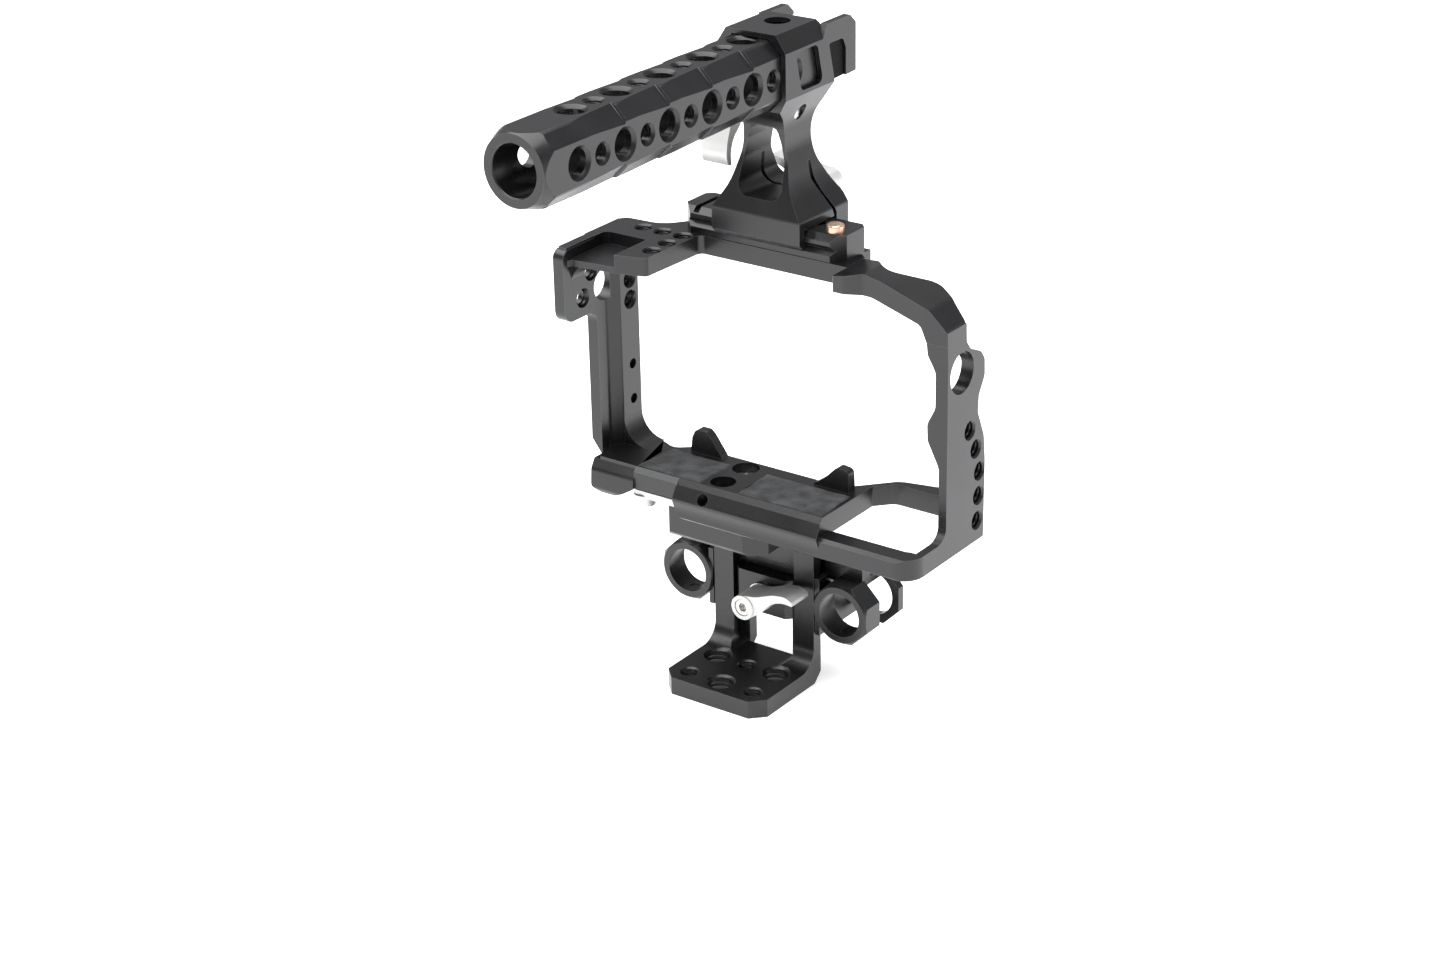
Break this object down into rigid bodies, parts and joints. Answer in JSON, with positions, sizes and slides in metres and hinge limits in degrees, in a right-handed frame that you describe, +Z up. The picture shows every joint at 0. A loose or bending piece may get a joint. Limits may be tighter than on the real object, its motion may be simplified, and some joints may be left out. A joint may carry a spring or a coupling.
{
  "type": "cinema camera rig",
  "caption": "Mirrorless camera cage with a top handle on a short rail, quick-release foot bracket and a height-adjustable clamp for 15 mm rods.",
  "frame": {"origin": "middle tripod hole at the underside of the foot", "axes": "+X to the right of the cage, +Y away from the grip's free end, +Z up"},
  "size_m": [0.1253, 0.1503, 0.217],
  "materials": {
    "black_aluminium": "satin black anodised",
    "silver_lever": "bead-blasted silver",
    "steel": "stainless",
    "brass": "turned, plain",
    "black_plastic": "matt black",
    "pad": "soft black, slightly creased"
  },
  "bodies": {
    "cage": {"riser_bracket": "black_aluminium", "quick_release_block": "black_aluminium", "bracket_screws": "steel", "quick_release_pivot": "steel", "dovetail_plate": "black_aluminium", "deck_screw": "steel", "cage_frame": "black_aluminium", "base_pad_left": "pad", "base_pad_right": "pad", "nato_rail": "black_aluminium", "rail_screws": "steel"},
    "rod_clamp": {"rod_clamp_body": "black_aluminium", "rod_lock_screws": "steel", "front_clamp_block": "black_aluminium"},
    "height_clamp": {"height_lever": "silver_lever", "height_lever_screw": "steel", "height_lever_washer": "steel"},
    "quick_release": {"quick_release_lever": "silver_lever"},
    "pin": {"safety_pin": "brass", "safety_pin_spring": "steel"},
    "handle": {"handle_stand": "black_aluminium", "fork_inserts": "black_plastic", "grip_lever_spacer": "black_aluminium", "nato_lever_washer": "steel"},
    "grip": {"grip_tube": "black_aluminium"},
    "grip_clamp": {"grip_lever": "silver_lever", "grip_lever_screw": "steel"},
    "nato_clamp": {"nato_lever": "silver_lever", "nato_lever_screw": "steel"}
  },
  "joints": [
    {"name": "rod_clamp_height", "type": "slide", "parent": "cage", "child": "rod_clamp", "axis": [0, 0, 1], "range_m": [-0.011, 0]},
    {"name": "height_lever_turn", "type": "hinge", "parent": "rod_clamp", "child": "height_clamp", "pos_m": [0, 0.003, 0.0274], "axis": [0, 1, 0], "range_deg": [-30, 30]},
    {"name": "quick_release_turn", "type": "hinge", "parent": "cage", "child": "quick_release", "pos_m": [-0.018, -0.005, 0.0627], "axis": [0, 0, 1], "range_deg": [0, 80]},
    {"name": "safety_pin_press", "type": "slide", "parent": "cage", "child": "pin", "axis": [0, 0, 1], "range_m": [-0.0024, 0], "stiffness_N_per_m": 400, "springref_m": 0.001, "deforming": ["safety_pin_spring"]},
    {"name": "handle_slide", "type": "slide", "parent": "cage", "child": "handle", "axis": [1, 0, 0], "range_m": [-0.008, 0.004]},
    {"name": "grip_slide", "type": "slide", "parent": "handle", "child": "grip", "axis": [0, 1, 0], "range_m": [-0.008, 0.01]},
    {"name": "grip_lever_turn", "type": "hinge", "parent": "handle", "child": "grip_clamp", "pos_m": [-0.015, 0.016, 0.1903], "axis": [1, 0, 0], "range_deg": [-60, 60]},
    {"name": "nato_lever_turn", "type": "hinge", "parent": "handle", "child": "nato_clamp", "pos_m": [0.006, 0.037, 0.1607], "axis": [0, 1, 0], "range_deg": [-60, 60]}
  ]
}
